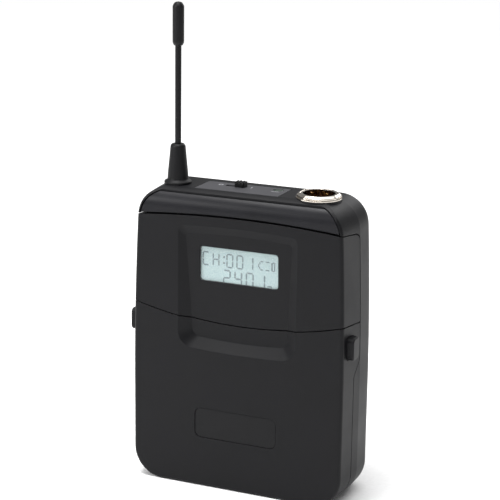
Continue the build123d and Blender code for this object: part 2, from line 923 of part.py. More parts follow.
def antenna_whip():
    """The flexible whip, from the stud up into the tip cap."""
    low = case_height + antenna_stud_grip()
    return rod_z(antenna_x, antenna_y, low, antenna_whip_top + antenna_tip_bury, antenna_whip_radius)


def antenna_tip():
    """The rounded cap on the whip's end."""
    tip = rod_z(antenna_x, antenna_y, antenna_whip_top, antenna_tip_top, antenna_tip_radius)
    ends = tip.edges().group_by(Axis.Z)
    tip = fillet(ends[-1], antenna_tip_radius * 0.6)
    tip = chamfer(tip.edges().group_by(Axis.Z)[0], antenna_tip_radius * 0.3)
    bore_top = antenna_whip_top + antenna_tip_bury
    return tip - rod_z(antenna_x, antenna_y, 0, bore_top, antenna_whip_radius)


def display_window():
    """The clear window: it fills the opening and has a flange behind the cover."""
    floor = recess_depth_at(window_z)
    back = recess_depth_at(window_z - window_height / 2 - lens_flange) + pan_thickness + 0.1
    width = window_width - 2 * window_fit
    height = window_height - 2 * window_fit
    lens = rounded_plate(width, height, window_corner, 0, window_z, floor + 0.3, back)
    wide = window_width + 2 * lens_flange
    tall = window_height + 2 * lens_flange
    lens += rounded_plate(wide, tall, window_corner, 0, window_z, back, back + lens_thickness)
    return lens


def recess_depth_at(z):
    """Depth of the recess floor at a height."""
    low = recess_bottom + recess_slope_bottom
    high = recess_top - recess_slope_top
    share = (high - z) / (high - low)
    return recess_depth_top + share * (recess_depth_bottom - recess_depth_top)


def lcd_front():
    """Front face of the LCD panel, just behind the window."""
    back = recess_depth_at(window_z - window_height / 2 - lens_flange) + pan_thickness + 0.1
    return back + lens_thickness + 0.1


def lcd_panel():
    """The LCD glass."""
    y0 = lcd_front()
    return rounded_plate(lcd_width, lcd_height, 0.3, 0, window_z, y0, y0 + lcd_thickness)


def lcd_frame():
    """The frame that holds the LCD to the display board."""
    y0 = lcd_front()
    wide = lcd_width + 2 * lcd_frame_wall
    tall = lcd_height + 2 * lcd_frame_wall
    y1 = y0 + lcd_thickness + display_board_gap
    ring = rounded_plate(wide, tall, 0.5, 0, window_z, y0, y1)
    fit = 2 * window_fit
    return ring - rounded_plate(lcd_width + fit, lcd_height + fit, 0.3, 0, window_z, 0, y1 + 1)


def display_board():
    """The board behind the LCD."""
    y0 = lcd_front() + lcd_thickness + display_board_gap
    half = display_board_half_width
    return box(-half, half, y0, y0 + board_thickness, display_board_low, display_board_high)


def main_board():
    """The main circuit board, notched for the cover posts."""
    y0 = main_board_y
    half = main_board_half_width
    board = box(-half, half, y0, y0 + board_thickness, main_board_low, main_board_high)
    for side in (-1, 1):
        x = side * case_post_x
        board -= rod_y(x, case_post_z, 0, far, case_post_radius + 0.4)
    link_y = lcd_front() + lcd_thickness + display_board_gap + board_thickness
    header = box(6, 12, link_y, y0, window_z - 1.5, window_z + 1.5)
    return board + header


def shield_can():
    """The radio section's shield on the main board."""
    x0 = shield_x - shield_width / 2
    z0 = shield_z - shield_height / 2
    y0 = main_board_y - shield_depth
    can = box(x0, x0 + shield_width, y0, main_board_y, z0, z0 + shield_height)
    return fillet(can.edges().filter_by(Axis.Y), 0.8)


def cell_columns():
    """X of the two cells."""
    return (cell_mid_x - cell_pitch / 2, cell_mid_x + cell_pitch / 2)


def flipped(shape):
    """The same shape upside down within the battery tray."""
    middle = (tray_low + tray_high) / 2
    return mirror(shape, about=Plane.XY.offset(middle))


def battery_cell(x, upside_down):
    """One AA cell with its raised terminal."""
    top = cell_low + cell_length
    cell = rod_z(x, cell_y, cell_low, top, cell_radius)
    cell = fillet(cell.edges(), 0.5)
    cell += rod_z(x, cell_y, top, top + cell_nub_height, cell_nub_radius)
    return flipped(cell) if upside_down else cell


def contact_leaf(x, upside_down):
    """The bent leaf under a cell's flat end."""
    low = tray_low + tray_wall
    t = contact_thickness
    y0 = cell_y - 3.2
    y1 = cell_y + 3.2
    top = cell_low - t / 2
    base = low + t / 2
    line = FilletPolyline(
        (y0, base),
        (y0 + 1.6, base),
        (cell_y - 0.9, top),
        (cell_y + 0.9, top),
        (y1 - 1.6, base),
        (y1, base),
        radius=0.4,
    )
    face = Plane.YZ * make_face(offset(line, amount=t / 2, side=Side.BOTH))
    leaf = extrude(Pos(x, 0, 0) * face, amount=2.5, both=True)
    return flipped(leaf) if upside_down else leaf


def contact_plate(x, upside_down):
    """The flat contact at a cell's raised terminal."""
    top = tray_high - tray_wall
    plate = box(x - 4, x + 4, cell_y - 4, cell_y + 4, top - contact_thickness, top)
    return flipped(plate) if upside_down else plate


def battery_tray():
    """The moulded tray: two troughs for the cells and a hollow bay beside them."""
    x0, x1 = cell_columns()
    cell_side = cell_mid_x + cell_row_half
    end_front = cell_y - cell_radius + 0.4
    tray = box(tray_left, cell_side, end_front, tray_back, tray_low, tray_high)
    inner_low = tray_low + tray_wall
    inner_high = tray_high - tray_wall
    for x in (x0, x1):
        tray -= rod_z(x, cell_y, inner_low, inner_high, cell_radius + cell_fit)
    tray -= box(tray_left - 1, cell_side + 1, 0, bay_front, inner_low, inner_high)
    tray -= box(x0, x1, 0, cell_y + 2.0, inner_low, inner_high)
    bay = box(cell_side - 0.1, tray_right, bay_front, tray_back, tray_low, tray_high)
    bay -= box(bay_left, tray_right - tray_wall, bay_back(), far, inner_low, inner_high)
    tray += bay
    for z in button_heights():
        tray -= rod_y(bay_mid_x(), z, 0, bay_back() + 0.1, button_radius + button_fit)
    for z in control_post_heights():
        tray += rod_y(bay_mid_x(), z, bay_back() - 0.2, control_board_y(), control_post_radius)
    for z in tray_screw_heights():
        tray -= rod_y(cell_mid_x, z, tray_back - 3.6, far, case_screw_radius)
    return tray


def bay_back():
    """Back of the bay's front panel."""
    return bay_front + tray_wall


def bay_mid_x():
    """Middle of the control bay."""
    return (bay_left + tray_right - tray_wall) / 2


def button_heights():
    """Heights of the three setting buttons."""
    return [bay_mid_z + button_pitch * i for i in (-1, 0, 1)]


def control_post_heights():
    """Heights of the two posts that carry the control board."""
    reach = button_pitch + button_pitch / 2
    return (bay_mid_z - reach, bay_mid_z + reach)


def button_end():
    """Back end of a button's stem at rest."""
    return bay_back() + 0.1 + button_flange_thickness + 0.5


def control_board_y():
    """Front of the control board, behind the switch bodies."""
    return button_end() + button_travel + 0.05 + tact_height


def setting_button(z):
    """A setting button: cap, flange behind the panel and stem."""
    x = bay_mid_x()
    front = bay_front - button_proud
    flange_y = bay_back() + 0.1
    cap = rod_y(x, z, front, flange_y, button_radius)
    cap = fillet(cap.edges().group_by(Axis.Y)[0], 0.4)
    flange_back = flange_y + button_flange_thickness
    cap += rod_y(x, z, flange_y, flange_back, button_radius + button_flange)
    return cap + rod_y(x, z, flange_back, button_end(), button_stem_radius)


def control_board():
    """The board behind the setting buttons, with its three small switches."""
    x = bay_mid_x()
    y0 = control_board_y()
    half = control_board_width / 2
    tall = control_board_height / 2
    board = box(x - half, x + half, y0, y0 + board_thickness, bay_mid_z - tall, bay_mid_z + tall)
    for z in button_heights():
        board += box(x - 1.6, x + 1.6, y0 - tact_height, y0, z - 1.6, z + 1.6)
    return board


def case_screws():
    """The four screws from behind, with flush heads."""
    screws = []
    for x, z in case_screw_places():
        cover_screw = z == case_post_z
        length = case_screw_length if cover_screw else tray_screw_length
        head = case_depth - case_screw_head_height
        shank_front = head - length
        screw = rod_y(x, z, shank_front, head, case_screw_radius)
        screw += rod_y(x, z, head, case_depth - 0.05, case_screw_head_radius)
        screws.append(screw - screw_recess(x, z, case_depth))
    return screws


def screw_recess(x, z, face_y):
    """The cross recess of a screw head."""
    across = Pos(x, face_y, z) * Box(2.0, 1.2, 0.5)
    return across + Pos(x, face_y, z) * Box(0.5, 1.2, 2.0)


def belt_clip():
    """The sprung sheet metal clip: a base plate, a return bend and the tongue."""
    t = clip_thickness
    inner = case_depth + t / 2
    outer = case_depth + clip_reach - t / 2
    mouth = case_depth + clip_mouth_gap - t / 2
    tip = mouth + clip_tip_flare
    line = FilletPolyline(
        (inner, clip_top - clip_base_length),
        (inner, clip_top + clip_bend_radius),
        (outer, clip_top + clip_bend_radius),
        (outer, clip_top - clip_straight),
        (mouth, clip_bottom + 7),
        (tip, clip_bottom),
        radius=clip_bend_radius,
    )
    face = Plane.YZ * make_face(offset(line, amount=t / 2, side=Side.BOTH))
    clip = extrude(face, amount=clip_width / 2, both=True)
    for side in (-1, 1):
        x = side * clip_screw_pitch / 2
        near = case_depth + 2 * t
        clip -= rod_y(x, clip_screw_z(), 0, near, clip_screw_radius + screw_fit)
        far_y = case_depth + clip_reach + 1
        clip -= rod_y(x, clip_screw_z(), near, far_y, clip_screw_head_radius + 0.4)
    return clip


def clip_screws():
    """The two screws that hold the clip, driven through holes in its tongue."""
    screws = []
    for side in (-1, 1):
        x = side * clip_screw_pitch / 2
        z = clip_screw_z()
        head = case_depth + clip_thickness
        screw = rod_y(x, z, case_depth - 4.0, head, clip_screw_radius)
        screw += rod_y(x, z, head, head + clip_screw_head_height, clip_screw_head_radius)
        screws.append(screw - screw_recess(x, z, head + clip_screw_head_height))
    return screws


def badge_plate():
    """The blank badge plate in the door."""
    width = badge_width - 2 * badge_fit
    height = badge_height - 2 * badge_fit
    y1 = badge_recess
    return rounded_plate(width, height, badge_corner - badge_fit, 0, badge_z, y1 - badge_thickness, y1)


def build():
    """Every node by name."""
    case = Case()
    left_x, right_x = cell_columns()
    low_z, mid_z, high_z = button_heights()
    return {
        "rear_housing": rear_housing(case),
        "head_trim": head_trim(case),
        "front_cover": front_cover(case),
        "battery_door": battery_door(case),
        "badge_plate": badge_plate(),
        "door_hinge_pins": hinge_pins(),
        "latch_right": latch(1),
        "latch_left": latch(-1),
        "latch_springs": latch_springs(),
        "top_plate": top_plate(),
        "power_knob": power_knob(),
        "power_switch": switch_body(),
        "status_light": status_light(),
        "jack_nut": jack_nut(),
        "jack_washer": jack_washer(),
        "jack_shell": jack_shell(),
        "jack_insert": jack_insert(),
        "jack_pins": jack_pins(),
        "antenna_boot": antenna_boot(),
        "antenna_stud": antenna_stud(),
        "antenna_whip": antenna_whip(),
        "antenna_tip": antenna_tip(),
        "display_window": display_window(),
        "lcd_panel": lcd_panel(),
        "lcd_frame": lcd_frame(),
        "display_board": display_board(),
        "main_board": main_board(),
        "shield_can": shield_can(),
        "battery_tray": battery_tray(),
        "battery_cell_left": battery_cell(left_x, False),
        "battery_cell_right": battery_cell(right_x, True),
        "contact_leaves": [contact_leaf(left_x, False), contact_leaf(right_x, True)],
        "contact_plates": [contact_plate(left_x, False), contact_plate(right_x, True)],
        "button_down": setting_button(low_z),
        "button_up": setting_button(mid_z),
        "button_set": setting_button(high_z),
        "control_board": control_board(),
        "case_screws": case_screws(),
        "belt_clip": belt_clip(),
        "clip_screws": clip_screws(),
    }


def export(nodes):
    """Moves every node to the object's own origin and writes it."""
    os.makedirs("parts", exist_ok=True)
    for name, shape in nodes.items():
        pieces = shape if isinstance(shape, list) else [shape]
        solids = [solid for piece in pieces for solid in piece.solids()]
        moved = [Pos(0, front_shift, 0) * solid for solid in solids]
        node = moved[0] if len(moved) == 1 else Compound(children=moved)
        node.label = name
        export_step(node, f"parts/{name}.step")


export(build())
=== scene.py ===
"""Looks of a belt-worn wireless transmitter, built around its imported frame."""
import logging
import math
from collections.abc import Callable
from dataclasses import dataclass, field
from enum import Enum

import bmesh
import bpy
import numpy as np
from mathutils import Matrix, Vector


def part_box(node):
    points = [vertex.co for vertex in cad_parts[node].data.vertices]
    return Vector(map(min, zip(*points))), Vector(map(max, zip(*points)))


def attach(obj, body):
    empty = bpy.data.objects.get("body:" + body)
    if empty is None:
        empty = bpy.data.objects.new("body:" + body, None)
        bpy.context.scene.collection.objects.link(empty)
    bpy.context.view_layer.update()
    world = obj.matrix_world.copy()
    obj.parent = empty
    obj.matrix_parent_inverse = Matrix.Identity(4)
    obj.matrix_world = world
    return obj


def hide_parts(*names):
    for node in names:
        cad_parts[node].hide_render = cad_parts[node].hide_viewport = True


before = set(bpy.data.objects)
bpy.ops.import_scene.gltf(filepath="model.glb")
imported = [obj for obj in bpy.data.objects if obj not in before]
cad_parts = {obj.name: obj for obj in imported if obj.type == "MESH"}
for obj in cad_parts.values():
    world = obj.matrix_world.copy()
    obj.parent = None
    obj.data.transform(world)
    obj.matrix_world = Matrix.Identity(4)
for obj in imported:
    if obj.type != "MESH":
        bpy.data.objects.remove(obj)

log = logging.getLogger("transmitter")
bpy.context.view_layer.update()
MM = 0.001
CASE = "case"
DOOR = "door"


class Way(Enum):
    """Which way a flat piece faces."""

    FRONT = "front"
    UP = "up"


# ---------------------------------------------------------------- colours and nodes

def linear(code: str, alpha: float = 1.0) -> tuple[float, float, float, float]:
    """Turns an sRGB hex colour into linear light.

    Args:
        code: Six hex digits with a leading hash.
        alpha: The fourth value.

    Returns:
        Red, green, blue and alpha.
    """
    parts = [int(code[i:i + 2], 16) / 255 for i in (1, 3, 5)]
    light = [c / 12.92 if c <= 0.04045 else ((c + 0.055) / 1.055) ** 2.4 for c in parts]
    return (*light, alpha)


def node(tree: bpy.types.NodeTree, kind: str, links: dict | None = None, **settings) -> bpy.types.Node:
    """Adds a shader node with its settings, socket values and links.

    Args:
        tree: The node tree it goes into.
        kind: The node's type name, without the leading ShaderNode.
        links: Input names or numbers to an output socket or a plain value.
        settings: Properties of the node.

    Returns:
        The new node.
    """
    made = tree.nodes.new("ShaderNode" + kind)
    for key, value in settings.items():
        setattr(made, key, value)
    for key, value in (links or {}).items():
        if isinstance(value, bpy.types.NodeSocket):
            tree.links.new(value, made.inputs[key])
        else:
            made.inputs[key].default_value = value
    return made


def ramp(tree: bpy.types.NodeTree, factor: bpy.types.NodeSocket, stops: list) -> bpy.types.NodeSocket:
    """Maps a number to a colour.

    Args:
        tree: The node tree.
        factor: The number that is mapped.
        stops: Position and linear colour of each stop.

    Returns:
        The colour output.
    """
    made = node(tree, "ValToRGB", {"Fac": factor})
    bar = made.color_ramp
    while len(bar.elements) < len(stops):
        bar.elements.new(0.5)
    for element, (place, colour) in zip(bar.elements, stops):
        element.position = place
        element.color = colour
    return made.outputs["Color"]


def noise(tree: bpy.types.NodeTree, place: bpy.types.NodeSocket, grain_mm: float,
          **values: float) -> bpy.types.NodeSocket:
    """Adds a noise texture whose pattern has a real size.

    Args:
        tree: The node tree.
        place: Object coordinates, stretched or not.
        grain_mm: Size of one cell of the noise in millimetres.
        values: Other input values of the noise.

    Returns:
        The noise's number.
    """
    links = {"Vector": place, "Scale": 1 / (grain_mm * MM), **values}
    return node(tree, "TexNoise", links).outputs["Fac"]


def spread_roughness(tree: bpy.types.NodeTree, shader: bpy.types.Node, value: bpy.types.NodeSocket,
                     low: float, high: float, start: float = 0.3, end: float = 0.7) -> None:
    """Lets a number vary the roughness.

    Args:
        tree: The node tree.
        shader: The Principled shader.
        value: The number.
        low: Roughness where the number is at its start.
        high: Roughness where the number is at its end.
        start: The number's start.
        end: The number's end.
    """
    links = {"Value": value, "From Min": start, "From Max": end, "To Min": low, "To Max": high}
    spread = node(tree, "MapRange", links)
    tree.links.new(spread.outputs["Result"], shader.inputs["Roughness"])


def relief(tree: bpy.types.NodeTree, shader: bpy.types.Node, height: bpy.types.NodeSocket,
           strength: float, depth_mm: float, edge_mm: float) -> None:
    """Softens the edges and adds a shallow relief.

    Args:
        tree: The node tree.
        shader: The Principled shader.
        height: The relief's height, 0 to 1.
        strength: How strongly it shows.
        depth_mm: Its depth in millimetres.
        edge_mm: Radius of the softened edges in millimetres.
    """
    soft = node(tree, "Bevel", {"Radius": edge_mm * MM}, samples=4)
    bump = node(tree, "Bump", {
        "Strength": strength, "Distance": depth_mm * MM, "Height": height, "Normal": soft.outputs["Normal"],
    })
    tree.links.new(bump.outputs["Normal"], shader.inputs["Normal"])


def mottled(name: str, colour: str, other: str, grain_mm: float, detail: float,
            roughness: float) -> bpy.types.Material:
    """A plain finish whose colour wanders a little between two tones.

    Args:
        name: The material's name.
        colour: One tone.
        other: The other tone.
        grain_mm: Size of the pattern in millimetres.
        detail: How fine the pattern gets.
        roughness: The finish's roughness.

    Returns:
        The material.
    """
    made, tree, shader = new_material(name)
    place = node(tree, "TexCoord").outputs["Object"]
    cloud = noise(tree, place, grain_mm, Detail=detail)
    tone = ramp(tree, cloud, [(0.3, linear(colour)), (0.7, linear(other))])
    tree.links.new(tone, shader.inputs["Base Color"])
    shader.inputs["Roughness"].default_value = roughness
    return made


def new_material(name: str) -> tuple[bpy.types.Material, bpy.types.NodeTree, bpy.types.Node]:
    """An empty node material with its Principled shader.

    Args:
        name: The material's name.

    Returns:
        The material, its node tree and the shader.
    """
    material = bpy.data.materials.new(name)
    material.use_nodes = True
    tree = material.node_tree
    tree.nodes.clear()
    shader = node(tree, "BsdfPrincipled")
    node(tree, "OutputMaterial", {"Surface": shader.outputs["BSDF"]})
    return material, tree, shader


# ---------------------------------------------------------------- finishes

@dataclass(frozen=True)
class MouldedPlastic:
    """Injection-moulded ABS. A spark-eroded mould leaves a fine even grain that breaks up the light."""

    name: str
    colour: str
    worn: str
    roughness: float = 0.5
    grain_mm: float = 0.32
    grain_depth_mm: float = 0.02
    edge_mm: float = 0.18
    specular: float = 0.16
    cloud_mm: float = 14.0
    speck: float = 0.22

    def material(self) -> bpy.types.Material:
        """The node material of this plastic."""
        made, tree, shader = new_material(self.name)
        place = node(tree, "TexCoord").outputs["Object"]
        grain = noise(tree, place, self.grain_mm, Detail=3.0, Roughness=0.6)
        cloud = noise(tree, place, self.cloud_mm, Detail=4.0, Roughness=0.55)
        fresh, worn = linear(self.colour), linear(self.worn)
        tone = ramp(tree, cloud, [(0.3, fresh), (0.75, worn)])
        grain_tone = ramp(tree, grain, [(0.35, fresh), (0.7, worn)])
        speck = node(tree, "Mix", {"Factor": self.speck, 6: tone, 7: grain_tone}, data_type="RGBA")
        tree.links.new(speck.outputs[2], shader.inputs["Base Color"])
        spread_roughness(tree, shader, cloud, self.roughness - 0.04, self.roughness + 0.05)
        relief(tree, shader, grain, 0.5, self.grain_depth_mm, self.edge_mm)
        shader.inputs["IOR"].default_value = 1.53
        shader.inputs["Specular IOR Level"].default_value = self.specular
        return made


@dataclass(frozen=True)
class Metal:
    """Plated or bare metal with fine turning or rolling marks."""

    name: str
    colour: str
    shade: str
    roughness: float
    mark_mm: float = 0.25
    mark_depth_mm: float = 0.004
    stretch: tuple[float, float, float] = (1.0, 1.0, 6.0)
    stain_mm: float = 3.0
    edge_mm: float = 0.08

    def material(self) -> bpy.types.Material:
        """The node material of this metal."""
        made, tree, shader = new_material(self.name)
        place = node(tree, "TexCoord").outputs["Object"]
        turned = node(tree, "Mapping", {"Vector": place, "Scale": self.stretch})
        marks = noise(tree, turned.outputs["Vector"], self.mark_mm, Detail=4.0, Roughness=0.6)
        stain = noise(tree, place, self.stain_mm, Detail=3.0)
        colour = ramp(tree, stain, [(0.35, linear(self.colour)), (0.8, linear(self.shade))])
        tree.links.new(colour, shader.inputs["Base Color"])
        spread_roughness(tree, shader, marks, self.roughness * 0.8, self.roughness * 1.3)
        relief(tree, shader, marks, 0.4, self.mark_depth_mm, self.edge_mm)
        shader.inputs["Metallic"].default_value = 1.0
        return made


@dataclass(frozen=True)
class ClearWindow:
    """Clear cast acrylic: nearly invisible apart from its polish."""

    name: str = "clear_acrylic"
    colour: str = "#DCE8E8"

    def material(self) -> bpy.types.Material:
        """The node material of the window."""
        made, tree, shader = new_material(self.name)
        place = node(tree, "TexCoord").outputs["Object"]
        wave = noise(tree, place, 9.0, Detail=1.0)
        spread_roughness(tree, shader, wave, 0.03, 0.08, 0.0, 1.0)
        shader.inputs["Base Color"].default_value = linear(self.colour)
        shader.inputs["Alpha"].default_value = 0.12
        shader.inputs["IOR"].default_value = 1.49
        return made


@dataclass(frozen=True)
class LiquidCrystal:
    """Reflective LCD glass: a pale polariser with a faint film grain and a slowly wandering tone."""

    name: str = "lcd_polariser"
    # Strength of a painted glow that makes the unlit reflective LCD shine faintly.
    painted_glow: float = 0.03
    pale: str = "#9FB5B6"
    shade: str = "#92A8AA"

    def material(self) -> bpy.types.Material:
        """The node material of the LCD, with a faint painted glow: its own colour is also emitted, though
        nothing lights it from behind.
        """
        made, tree, shader = new_material(self.name)
        place = node(tree, "TexCoord").outputs["Object"]
        film = noise(tree, place, 0.4, Detail=3.0)
        cloud = noise(tree, place, 12.0, Detail=2.0)
        both = node(tree, "Math", {0: film, 1: cloud}, operation="ADD")
        half = node(tree, "Math", {0: both.outputs["Value"], 1: 0.5}, operation="MULTIPLY")
        colour = ramp(tree, half.outputs["Value"], [(0.35, linear(self.pale)), (0.65, linear(self.shade))])
        tree.links.new(colour, shader.inputs["Base Color"])
        # Painted glow: the LCD's colour is fed to its emission, so it shines a little though no light is
        # behind it.
        tree.links.new(colour, shader.inputs["Emission Color"])
        shader.inputs["Emission Strength"].default_value = self.painted_glow
        shader.inputs["Roughness"].default_value = 0.35
        return made


@dataclass(frozen=True)
class CircuitBoard:
    """Glass-epoxy board under green solder mask, with copper tracks showing as paler lines."""

    name: str = "solder_mask"
    mask: str = "#0F4A2C"
    mask_dark: str = "#0D4328"
    track: str = "#1F6B41"
    pad: str = "#B9B4A2"
    track_mm: float = 4.0
    pad_mm: float = 2.2

    def material(self) -> bpy.types.Material:
        """The node material of the board."""
        made, tree, shader = new_material(self.name)
        place = node(tree, "TexCoord").outputs["Object"]
        turned = node(tree, "Mapping", {"Vector": place, "Rotation": (math.pi / 2, 0, 0)})
        tracks = node(tree, "TexBrick", {
            "Vector": turned.outputs["Vector"], "Scale": 1 / (self.track_mm * MM), "Mortar Size": 0.05,
            "Color1": linear(self.mask), "Color2": linear(self.mask_dark), "Mortar": linear(self.track),
        })
        dots = node(tree, "TexVoronoi", {"Vector": place, "Scale": 1 / (self.pad_mm * MM)})
        mask = node(tree, "MapRange", {
            "Value": dots.outputs["Distance"],
            "From Min": 0.16, "From Max": 0.2, "To Min": 1.0, "To Max": 0.0,
        })
        colour = node(tree, "Mix", {
            "Factor": mask.outputs["Result"], 6: tracks.outputs["Color"], 7: linear(self.pad),
        }, data_type="RGBA")
        tree.links.new(colour.outputs[2], shader.inputs["Base Color"])
        bump = node(tree, "Bump", {"Strength": 0.4, "Distance": 0.03 * MM, "Height": tracks.outputs["Fac"]})
        tree.links.new(bump.outputs["Normal"], shader.inputs["Normal"])
        shader.inputs["Roughness"].default_value = 0.32
        return made


@dataclass(frozen=True)
class CellJacket:
    """Printed shrink film over a steel can: a dark body with one plain coloured band."""

    low: float
    high: float
    name: str = "cell_film"
    body: str = "#2A2D31"
    band: str = "#B87A33"
    can: str = "#B9BABC"

    def material(self) -> bpy.types.Material:
        """The node material of the film, banded by height."""
        made, tree, shader = new_material(self.name)
        place = node(tree, "TexCoord").outputs["Object"]
        height = node(tree, "SeparateXYZ", {"Vector": place}).outputs["Z"]
        share = node(tree, "MapRange", {"Value": height, "From Min": self.low, "From Max": self.high})
        starts = [(0.0, self.can), (0.028, self.body), (0.70, self.band), (0.955, self.can)]
        banded = ramp(tree, share.outputs["Result"], [(start, linear(code)) for start, code in starts])
        banded.node.color_ramp.interpolation = "CONSTANT"
        tree.links.new(banded, shader.inputs["Base Color"])
        scuff = noise(tree, place, 1.5, Detail=5.0)
        spread_roughness(tree, shader, scuff, 0.22, 0.42, 0.0, 1.0)
        shader.inputs["Metallic"].default_value = 0.35
        return made


@dataclass(frozen=True)
class Studio:
    """Matte paper for the floor."""

    colour: str = "#F4F4F4"
    pale: str = "#FAFAFA"
    fibre_mm: float = 1 / 0.9

    def material(self) -> bpy.types.Material:
        """The node material of the paper, with a faint fibre."""
        made, tree, shader = new_material("studio_paper")
        place = node(tree, "TexCoord").outputs["Object"]
        fibre = noise(tree, place, self.fibre_mm, Detail=3.0)
        colour = ramp(tree, fibre, [(0.3, linear(self.colour)), (0.7, linear(self.pale))])
        tree.links.new(colour, shader.inputs["Base Color"])
        shader.inputs["Roughness"].default_value = 0.9
        return made


def plastic(*values: str | float, **named: float) -> MouldedPlastic:
    """A dataclass field that holds a moulded plastic.

    Args:
        values: The plastic's first values, in order.
        named: Its other values.

    Returns:
        The field.
    """
    return field(default_factory=lambda: MouldedPlastic(*values, **named))


def metal(*values: str | float | tuple) -> Metal:
    """A dataclass field that holds a metal.

    Args:
        values: The metal's values, in order.

    Returns:
        The field.
    """
    return field(default_factory=lambda: Metal(*values))


# ---------------------------------------------------------------- surfaces

def mesh_object(name: str, points: np.ndarray, faces: list, smooth: bool = True) -> bpy.types.Object:
    """Puts points in millimetres and faces into a new object at the origin.

    Args:
        name: The object's name.
        points: Vertices, one row each.
        faces: Vertex numbers of each face.
        smooth: Whether the faces are shaded smooth.

    Returns:
        The object, linked to the scene.
    """
    data = bpy.data.meshes.new(name)
    data.from_pydata((points * MM).tolist(), [], faces)
    data.polygons.foreach_set("use_smooth", np.full(len(data.polygons), smooth))
    data.update()
    made = bpy.data.objects.new(name, data)
    bpy.context.scene.collection.objects.link(made)
    return made


def rounded(corners: list[tuple[float, float]], radius: float, steps: int = 6) -> np.ndarray:
    """Rounds the inner corners of a profile.

    Each corner is cut back by the radius along both sides, at most a third of a
    side, and the ends are joined by (1-t)^2 a + 2t(1-t) corner + t^2 b.

    Args:
        corners: Radius and height of each corner.
        radius: How far a corner is cut back.
        steps: Points on each round.

    Returns:
        The rounded profile.
    """
    line = np.asarray(corners, float)
    before, corner, after = line[:-2], line[1:-1], line[2:]
    back, ahead = before - corner, after - corner
    reach_back = np.linalg.norm(back, axis=1, keepdims=True)
    reach_ahead = np.linalg.norm(ahead, axis=1, keepdims=True)
    a = corner + back / reach_back * np.minimum(radius, reach_back / 3)
    b = corner + ahead / reach_ahead * np.minimum(radius, reach_ahead / 3)
    t = np.linspace(0, 1, steps)[None, :, None]
    arcs = (1 - t) ** 2 * a[:, None] + 2 * t * (1 - t) * corner[:, None] + t ** 2 * b[:, None]
    return np.vstack([line[:1], arcs.reshape(-1, 2), line[-1:]])


def turned(name: str, centre: tuple[float, float], profile: np.ndarray, sides: int = 64,
           shape: Callable | None = None) -> bpy.types.Object:
    """Turns a profile round an upright axis.

    A point is centre + r k(a) (cos a, sin a) at height z, where (r, z) is the
    profile and k is the shape's factor at the angle, 1 for a round piece.

    Args:
        name: The object's name.
        centre: X and Y of the axis in millimetres.
        profile: Radius and height, counter-clockwise seen with the axis on the left.
        sides: Points round the axis.
        shape: A function of the angles that gives k, or None.

    Returns:
        The object.
    """
    angle = np.linspace(0, 2 * math.pi, sides, endpoint=False)
    factor = np.ones(sides) if shape is None else shape(angle)
    reach = profile[:, 0:1] * factor[None, :]
    x = centre[0] + reach * np.cos(angle)[None, :]
    y = centre[1] + reach * np.sin(angle)[None, :]
    z = np.repeat(profile[:, 1:2], sides, axis=1)
    points = np.stack([x, y, z], axis=-1).reshape(-1, 3)
    closed = np.allclose(profile[0], profile[-1])
    rows = len(profile) - 1
    i, j = np.meshgrid(np.arange(rows), np.arange(sides), indexing="ij")
    up = i + 1
    if closed:
        points = points[:rows * sides]
        up = up % rows
    side = (j + 1) % sides
    quads = np.stack([i * sides + j, i * sides + side, up * sides + side, up * sides + j], axis=-1)
    made = mesh_object(name, points, quads.reshape(-1, 4).tolist())
    merge_poles(made)
    return made


def merge_poles(made: bpy.types.Object) -> None:
    """Joins points that lie on each other, such as at a pole, and drops faces with no area."""
    work = bmesh.new()
    work.from_mesh(made.data)
    bmesh.ops.remove_doubles(work, verts=work.verts, dist=1e-7)
    bmesh.ops.recalc_face_normals(work, faces=work.faces)
    work.to_mesh(made.data)
    work.free()


def plate(name: str, outline: np.ndarray, low: float, high: float, way: Way,
          at: tuple[float, float] = (0.0, 0.0)) -> bpy.types.Object:
    """A flat plate with an outline, between two depths or two heights.

    The outline's points are (u, v): X and Z for a plate that faces front, X and Y
    for one that faces up. The two caps are the same outline at both levels.

    Args:
        name: The object's name.
        outline: Points round the plate, counter-clockwise.
        low: The first level.
        high: The second level.
        way: Which way the plate faces.
        at: Where the outline's own origin goes.

    Returns:
        The object.
    """
    count = len(outline)
    u = outline[:, 0] + at[0]
    v = outline[:, 1] + at[1]
    levels = []
    for level in (low, high):
        flat = np.full(count, level)
        levels.append(np.stack([u, flat, v] if way is Way.FRONT else [u, v, flat], axis=-1))
    points = np.vstack(levels)
    number = np.arange(count)
    after = (number + 1) % count
    walls = np.stack([number, after, after + count, number + count], axis=-1).tolist()
    made = mesh_object(name, points, walls + [number[::-1].tolist(), (number + count).tolist()], smooth=False)
    merge_poles(made)
    return made


def round_rectangle(width: float, height: float, corner: float, steps: int = 8) -> np.ndarray:
    """A rectangle with round corners.

    A corner point is its centre + corner (cos a, sin a), a over a quarter turn.

    Args:
        width: Full width.
        height: Full height.
        corner: Corner radius.
        steps: Points on each corner.

    Returns:
        Points, counter-clockwise.
    """
    turn = np.radians([0, 90, 180, 270])[:, None] + np.linspace(0, math.pi / 2, steps)[None, :]
    side = np.array([[1, 1], [-1, 1], [-1, -1], [1, -1]])
    middle = side * (np.array([width, height]) / 2 - corner)
    arc = middle[:, None, :] + corner * np.stack([np.cos(turn), np.sin(turn)], axis=-1)
    return arc.reshape(-1, 2)


def put_on(made: bpy.types.Object, material: bpy.types.Material, body: str, slot: str,
           *stands_for: str) -> bpy.types.Object:
    """Dresses a new piece and hangs it on its body.

    Args:
        made: The piece.
        material: Its finish.
        body: The body it rides on.
        slot: Not used.
        stands_for: CAD nodes that it replaces.

    Returns:
        The piece.
    """
    made.data.materials.clear()
    made.data.materials.append(material)
    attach(made, body)
    if stands_for:
        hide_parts(*stands_for)
    log.info("piece %s on %s", made.name, body)
    return made


